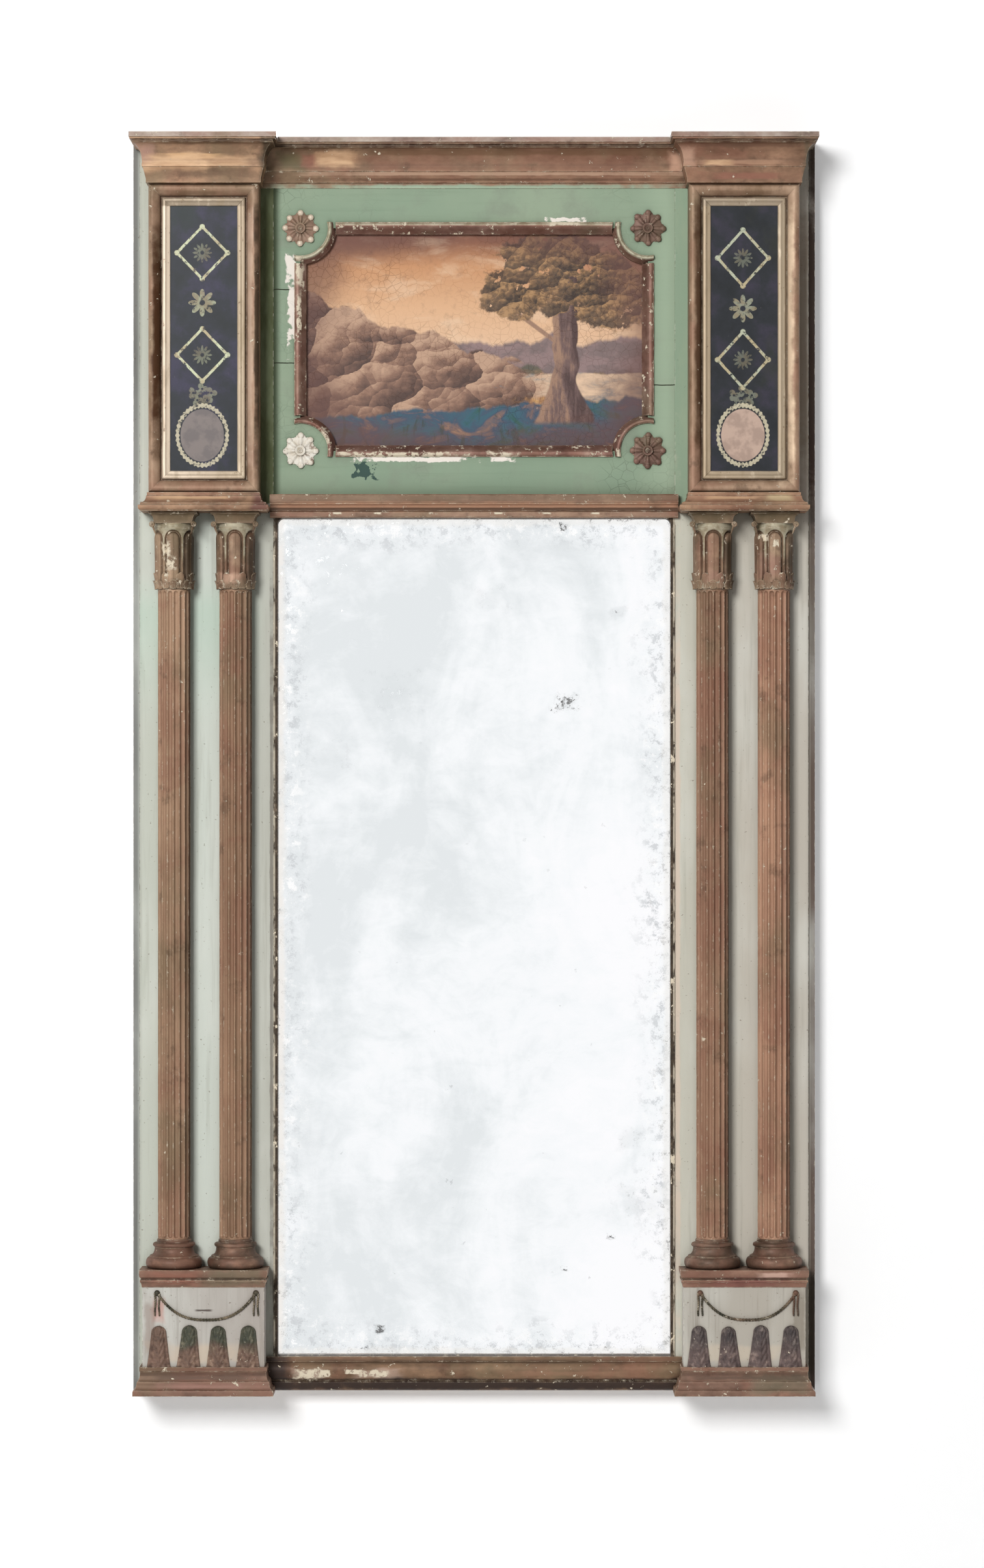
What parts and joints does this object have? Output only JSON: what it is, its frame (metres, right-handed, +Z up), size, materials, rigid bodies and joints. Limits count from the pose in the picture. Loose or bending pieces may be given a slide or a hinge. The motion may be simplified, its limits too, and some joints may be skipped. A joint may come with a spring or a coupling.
{
  "type": "painted wall mirror",
  "caption": "Tall painted and gilt wall mirror with paired fluted half columns, framed glass panels, a picture panel with hollow corners and a stepped cornice.",
  "frame": {"origin": "on the wall plane, on the vertical centre line, at the level of the underside of the feet", "axes": "+Z up, +Y into the wall, +X to the viewer's right; the front faces -Y"},
  "size_m": [0.847, 0.1065, 1.552],
  "materials": {
    "pale_paint": "worn grey-green distemper over pine",
    "green_paint": "matt sage green paint with fine cracks",
    "bronze_gilding": "rubbed bronze-brown gilding over gesso",
    "pale_gilding": "pale rubbed gilding",
    "gesso": "bare chalky gesso",
    "bare_pine": "old unpainted pine",
    "mirror": "silvered plate with slight foxing",
    "dark_glass": "back-painted blue-black glass with gilt ornament",
    "picture": "oil painting on a thin panel",
    "iron": "dark wrought plate",
    "screw_steel": "dulled steel"
  },
  "bodies": {
    "root": {"side_board_left": "pale_paint", "side_board_right": "pale_paint", "pilaster_board_left": "pale_paint", "pilaster_board_right": "pale_paint", "top_rail": "bare_pine", "middle_rail": "bare_pine", "bottom_rail": "bare_pine", "frieze_board": "green_paint", "frieze_backboard": "bare_pine", "mirror_backboards": "bare_pine", "mirror_plate": "mirror", "mirror_beading": "bronze_gilding", "mirror_blocks": "bare_pine", "middle_moulding": "bronze_gilding", "bottom_moulding": "bronze_gilding", "picture_panel": "picture", "picture_moulding": "bronze_gilding", "rosette_top_left": "bronze_gilding", "rosette_top_right": "bronze_gilding", "rosette_bottom_left": "gesso", "rosette_bottom_right": "bronze_gilding", "top_board": "bronze_gilding", "cornice_left": "bronze_gilding", "cornice_centre": "bronze_gilding", "cornice_right": "bronze_gilding", "frieze_block_left": "bronze_gilding", "frieze_block_right": "bronze_gilding", "panel_frame_left": "bronze_gilding", "panel_frame_right": "bronze_gilding", "panel_slip_left": "pale_gilding", "panel_slip_right": "pale_gilding", "panel_glass_left": "dark_glass", "panel_glass_right": "dark_glass", "architrave_left": "bronze_gilding", "architrave_right": "bronze_gilding", "capital_outer_left": "bronze_gilding", "capital_inner_left": "bronze_gilding", "capital_inner_right": "bronze_gilding", "capital_outer_right": "bronze_gilding", "shaft_outer_left": "bronze_gilding", "shaft_inner_left": "bronze_gilding", "shaft_inner_right": "bronze_gilding", "shaft_outer_right": "bronze_gilding", "base_outer_left": "bronze_gilding", "base_inner_left": "bronze_gilding", "base_inner_right": "bronze_gilding", "base_outer_right": "bronze_gilding", "plinth_cap_left": "bronze_gilding", "plinth_cap_right": "bronze_gilding", "plinth_block_left": "pale_paint", "plinth_block_right": "pale_paint", "plinth_foot_left": "bronze_gilding", "plinth_foot_right": "bronze_gilding", "plinth_leaves_left": "bronze_gilding", "plinth_leaves_right": "bronze_gilding", "plinth_swag_left": "bronze_gilding", "plinth_swag_right": "bronze_gilding", "hanging_plates": "iron", "screws": "screw_steel"}
  },
  "joints": []
}
